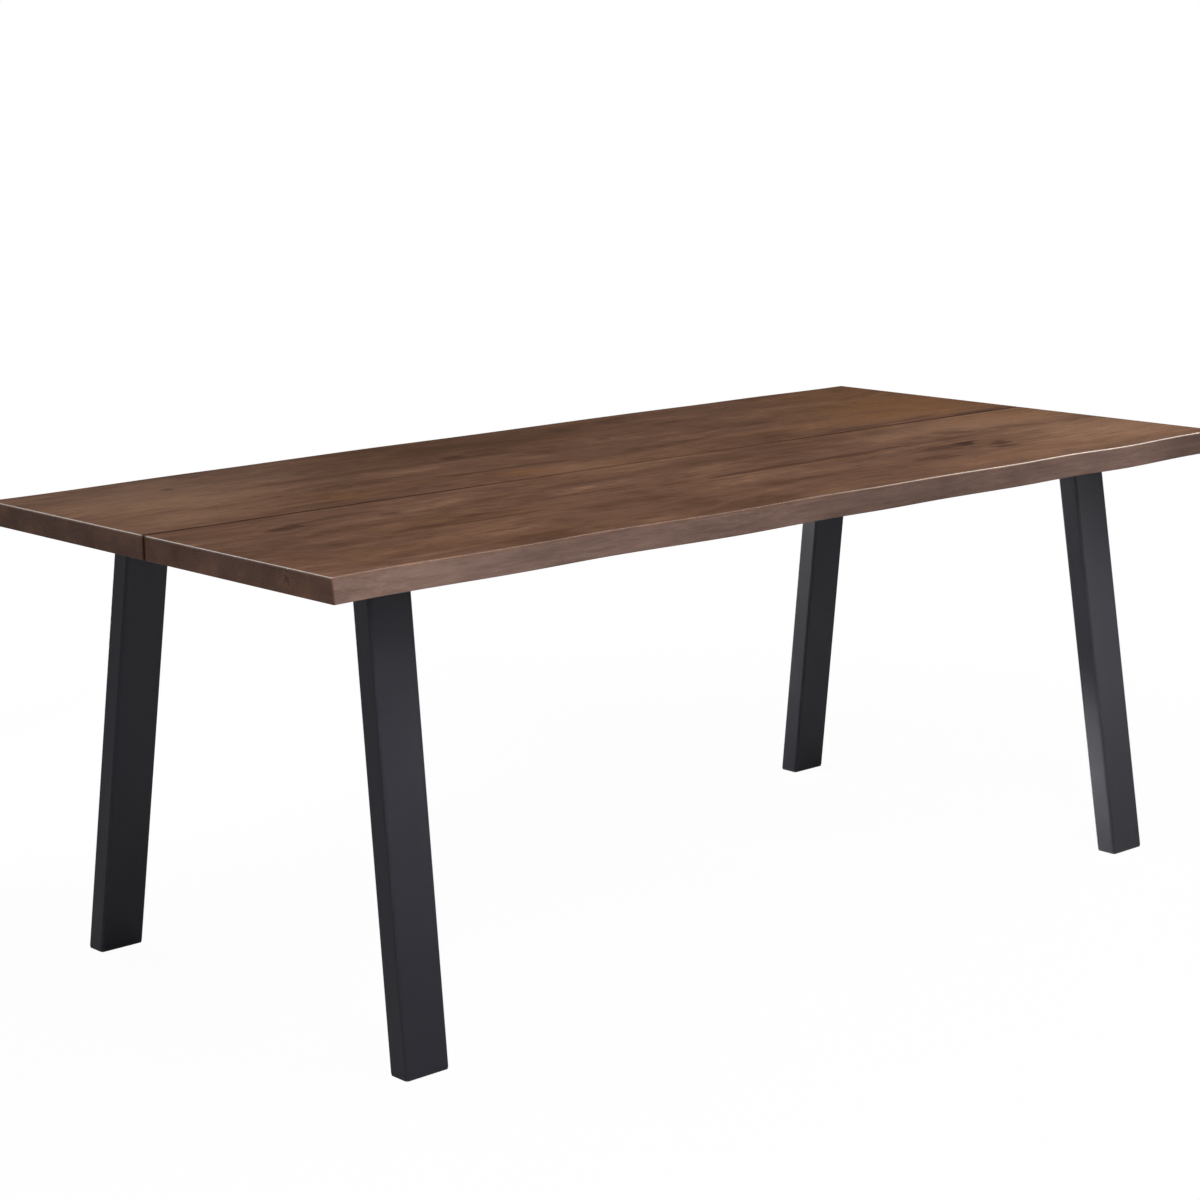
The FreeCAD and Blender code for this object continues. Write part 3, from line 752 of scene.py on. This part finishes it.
def weld_path(leg, spacing):
    """Points round the head of a leg, where it meets its bar, at even steps."""
    corners = [vertex.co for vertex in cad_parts[leg].data.vertices]
    head = max(corner.z for corner in corners)
    level = [corner.xy for corner in corners if corner.z > head - HEAD_TOLERANCE]
    outline = [level[index] for index in geometry.convex_hull_2d(level)]
    points = []
    for start, stop in zip(outline, outline[1:] + outline[:1]):
        steps = max(1, round((stop - start).length / spacing))
        points += [start.lerp(stop, step / steps).to_3d() for step in range(steps)]
    for point in points:
        point.z = head
    return points


def weld_bead(leg, radius):
    """A rippled bead in the corner between a leg and its bar, as a closed mesh."""
    points = weld_path(leg, WELD_STEP * radius)
    curve = bpy.data.curves.new("bead", "CURVE")
    curve.dimensions = "3D"
    curve.bevel_depth = radius
    curve.bevel_resolution = WELD_RESOLUTION
    path = curve.splines.new("POLY")
    path.use_cyclic_u = True
    path.points.add(len(points) - 1)
    for index, point in enumerate(points):
        path.points[index].co = (*point, 1.0)
        ripple = math.sin(math.tau * index / WELD_RIPPLE_STEPS)
        path.points[index].radius = 1.0 + WELD_RIPPLE * ripple
    holder = bpy.data.objects.new("bead", curve)
    mesh = bpy.data.meshes.new_from_object(holder)
    bpy.data.objects.remove(holder)
    bpy.data.curves.remove(curve)
    shape = bmesh.new()
    shape.from_mesh(mesh)
    bmesh.ops.remove_doubles(shape, verts=shape.verts, dist=MERGE_DISTANCE)
    bmesh.ops.recalc_face_normals(shape, faces=shape.faces)
    for face in shape.faces:
        face.smooth = True
    shape.to_mesh(mesh)
    shape.free()
    return mesh


# Operators

class PLANKTABLE_OT_oak(bpy.types.Operator):
    """Finishes the staves of the two planks in smoked oak"""

    bl_idname = "plank_table.oak"
    bl_label = "Oak planks"

    def execute(self, context):
        settings = context.scene.plank_table_oak
        for stave in STAVES:
            dress(stave, oak_material(stave, settings))
        return {"FINISHED"}


class PLANKTABLE_OT_steel(bpy.types.Operator):
    """Finishes the legs, leg bars and battens in black powder coat"""

    bl_idname = "plank_table.steel"
    bl_label = "Steel frame"

    def execute(self, context):
        coat = powder_coat_material(context.scene.plank_table_steel)
        for corner in CORNERS:
            dress(f"{corner}_leg", coat)
        for end in ENDS:
            dress(f"{end}_leg_bar", coat)
            dress(f"{end}_batten", coat)
        return {"FINISHED"}


class PLANKTABLE_OT_welds(bpy.types.Operator):
    """Adds the weld beads between the legs and their bars"""

    bl_idname = "plank_table.welds"
    bl_label = "Weld beads"

    def execute(self, context):
        settings = context.scene.plank_table_steel
        coat = powder_coat_material(settings)
        for corner in CORNERS:
            mesh = weld_bead(f"{corner}_leg", settings.weld_radius)
            mesh.materials.append(coat)
            bead = bpy.data.objects.new(f"{corner}_weld", mesh)
            context.scene.collection.objects.link(bead)
            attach(bead, "root")
        return {"FINISHED"}


class PLANKTABLE_OT_feet(bpy.types.Operator):
    """Finishes the foot plugs in black plastic"""

    bl_idname = "plank_table.feet"
    bl_label = "Foot plugs"

    def execute(self, context):
        plastic = plastic_material(context.scene.plank_table_steel)
        for corner in CORNERS:
            dress(f"{corner}_foot", plastic)
        return {"FINISHED"}


class PLANKTABLE_OT_fasteners(bpy.types.Operator):
    """Finishes the bolts, washers and inserts under the top"""

    bl_idname = "plank_table.fasteners"
    bl_label = "Fasteners"

    def execute(self, context):
        zinc = zinc_material(context.scene.plank_table_steel)
        blackened = bolt_material()
        for bar in ("leg_bar", "batten"):
            dress(f"{bar}_bolts", blackened)
            dress(f"{bar}_washers", zinc)
            dress(f"{bar}_inserts", zinc)
        return {"FINISHED"}


# Stage

# Half the side of the floor, and the distances from its middle where it turns plain white, in metres
FLOOR_HALF_SIZE = 40.0
FLOOR_FADE = (1.0, 2.5)
# Soft boxes: place, point aimed at, width, height, power in watts, spread in degrees
LIGHTS = {
    "over_front": ((0.0, -1.8, 2.6), (0.0, 0.0, 0.6), 2.6, 1.4, 58.0, 180.0),
    "right_high": ((2.1, -0.6, 2.9), (0.3, 0.0, 0.6), 0.8, 0.8, 19.0, 180.0),
    "camera_side": ((-1.9, -3.3, 1.9), (0.0, 0.0, 0.5), 1.0, 0.8, 15.0, 180.0),
    "camera_low": ((-2.7, -2.6, 0.45), (0.0, -0.2, 0.4), 0.6, 0.5, 4.2, 180.0),
    "front_key": ((-1.2, -2.4, 2.2), (0.0, -0.3, 0.5), 0.5, 0.5, 9.0, 180.0),
    "left": ((-3.4, 0.4, 1.3), (0.0, 0.0, 0.5), 1.2, 1.0, 9.0, 180.0),
    "right_low": ((1.9, -2.0, 0.6), (0.72, -0.38, 0.38), 0.4, 0.6, 0.42, 26.0),
    "front_low": ((0.67, -2.37, 0.42), (-0.815, -0.34, 0.50), 0.3, 0.25, 0.08, 20.0),
    "corner_right": ((-1.0, -2.7, 0.35), (0.805, -0.36, 0.33), 0.3, 0.3, 0.34, 20.0),
    "corner_left": ((-2.6, -2.75, 0.45), (-0.83, -0.385, 0.45), 0.3, 0.3, 0.12, 16.0),
    "rear_low": ((-0.3, 1.7, 0.45), (0.6, 0.0, 0.35), 0.8, 0.6, 16.0, 180.0),
    "rear_left_low": ((-2.2, 1.6, 0.7), (-0.6, 0.2, 0.5), 0.8, 0.6, 2.4, 180.0),
    "rear_strip": ((-1.4, 2.4, 2.5), (-0.9, 0.0, 0.76), 1.4, 0.3, 20.0, 180.0),
    "rear_foot": ((0.1, 0.95, 0.3), (0.785, 0.42, 0.08), 0.15, 0.15, 0.13, 30.0),
    "kick": ((-0.45, 0.85, 0.12), (0.785, -0.38, 0.10), 0.12, 0.12, 0.32, 15.0),
}


def soft_box(name, place, aim, width, height, power, spread):
    """An area light that the camera doesn't see."""
    lamp = bpy.data.lights.new(name, "AREA")
    lamp.shape = "RECTANGLE"
    lamp.size = width
    lamp.size_y = height
    lamp.energy = power
    lamp.spread = math.radians(spread)
    holder = bpy.data.objects.new(name, lamp)
    holder.location = place
    holder.rotation_euler = (Vector(aim) - Vector(place)).to_track_quat("-Z", "Y").to_euler()
    holder.visible_camera = False
    bpy.context.scene.collection.objects.link(holder)


def floor_material(settings):
    """A pale floor that keeps the shadow, and that doesn't hide the table from below."""
    graph = Graph("pale_floor")
    distance = graph.node("ShaderNodeVectorMath", {"operation": "LENGTH"}, {0: graph.object_place()})
    plain = graph.ramp(distance.outputs["Value"], *FLOOR_FADE, settings.floor_glow, 1.0)
    seen = graph.node("ShaderNodeLightPath").outputs["Is Camera Ray"]
    share = graph.math("MULTIPLY", seen, plain)
    diffuse = graph.node("ShaderNodeBsdfDiffuse", None, {"Color": (*settings.floor_colour, 1.0)})
    glow = graph.node("ShaderNodeEmission", None, {"Strength": 1.0})
    lit = graph.node("ShaderNodeMixShader", None, {0: share, 1: diffuse.outputs[0], 2: glow.outputs[0]})
    clear = graph.node("ShaderNodeBsdfTransparent")
    below = graph.node("ShaderNodeNewGeometry").outputs["Backfacing"]
    mixed = graph.node("ShaderNodeMixShader", None, {0: below, 1: lit.outputs[0], 2: clear.outputs[0]})
    return graph.finish(mixed)


class PLANKTABLE_OT_stage(bpy.types.Operator):
    """Makes the floor, the lights and the camera"""

    bl_idname = "plank_table.stage"
    bl_label = "Stage"

    def execute(self, context):
        settings = context.scene.plank_table_stage
        self.make_floor(settings)
        self.make_world(context.scene, settings)
        self.make_lights()
        self.make_camera(context.scene, settings)
        context.scene.view_settings.view_transform = "Standard"
        return {"FINISHED"}

    def make_floor(self, settings):
        shape = bmesh.new()
        bmesh.ops.create_grid(shape, x_segments=1, y_segments=1, size=FLOOR_HALF_SIZE)
        mesh = bpy.data.meshes.new("floor")
        shape.to_mesh(mesh)
        shape.free()
        mesh.materials.append(floor_material(settings))
        floor = bpy.data.objects.new("floor", mesh)
        bpy.context.scene.collection.objects.link(floor)

    def make_world(self, scene, settings):
        world = bpy.data.worlds.new("studio")
        scene.world = world
        world.use_nodes = True
        nodes = world.node_tree.nodes
        links = world.node_tree.links
        nodes.clear()
        rays = nodes.new("ShaderNodeLightPath")
        strength = nodes.new("ShaderNodeMapRange")
        strength.inputs["To Min"].default_value = settings.world_strength
        links.new(rays.outputs["Is Camera Ray"], strength.inputs["Value"])
        background = nodes.new("ShaderNodeBackground")
        background.inputs["Color"].default_value = (1.0, 1.0, 1.0, 1.0)
        links.new(strength.outputs[0], background.inputs["Strength"])
        output = nodes.new("ShaderNodeOutputWorld")
        links.new(background.outputs[0], output.inputs["Surface"])

    def make_lights(self):
        for name, values in LIGHTS.items():
            soft_box(name, *values)

    def make_camera(self, scene, settings):
        yaw, pitch, roll = settings.camera_yaw, settings.camera_pitch, settings.camera_roll
        forward = Vector((
            math.sin(yaw) * math.cos(pitch), math.cos(yaw) * math.cos(pitch), -math.sin(pitch)))
        level = Vector((math.cos(yaw), -math.sin(yaw), 0.0))
        upright = level.cross(forward)
        right = math.cos(roll) * level + math.sin(roll) * upright
        up = -math.sin(roll) * level + math.cos(roll) * upright
        turn = Matrix((right, up, -forward)).transposed()
        camera = bpy.data.cameras.new("photo_camera")
        camera.lens = settings.camera_lens
        holder = bpy.data.objects.new("photo_camera", camera)
        holder.matrix_world = Matrix.LocRotScale(Vector(settings.camera_place), turn, None)
        scene.collection.objects.link(holder)
        scene.camera = holder


class PLANKTABLE_PT_panel(bpy.types.Panel):
    """Lists the steps and the settings"""

    bl_label = "Plank table"
    bl_idname = "PLANKTABLE_PT_panel"
    bl_space_type = "VIEW_3D"
    bl_region_type = "UI"
    bl_category = "Plank table"

    def draw(self, context):
        for step in STEPS:
            self.layout.operator(step.bl_idname)
        for name, group in GROUPS.items():
            box = self.layout.box()
            for setting in group.__annotations__:
                box.prop(getattr(context.scene, name), setting)


STEPS = (
    PLANKTABLE_OT_oak,
    PLANKTABLE_OT_steel,
    PLANKTABLE_OT_welds,
    PLANKTABLE_OT_feet,
    PLANKTABLE_OT_fasteners,
    PLANKTABLE_OT_stage,
)
GROUPS = {
    "plank_table_oak": OakSettings,
    "plank_table_steel": SteelSettings,
    "plank_table_stage": StageSettings,
}
CLASSES = (*GROUPS.values(), *STEPS, PLANKTABLE_PT_panel)


def register():
    for cls in CLASSES:
        bpy.utils.register_class(cls)
    for name, group in GROUPS.items():
        setattr(bpy.types.Scene, name, bpy.props.PointerProperty(type=group))


def unregister():
    for name in GROUPS:
        delattr(bpy.types.Scene, name)
    for cls in reversed(CLASSES):
        bpy.utils.unregister_class(cls)


def main():
    register()
    bpy.ops.plank_table.oak()
    bpy.ops.plank_table.steel()
    bpy.ops.plank_table.welds()
    bpy.ops.plank_table.feet()
    bpy.ops.plank_table.fasteners()
    bpy.ops.plank_table.stage()


if __name__ == "__main__":
    main()
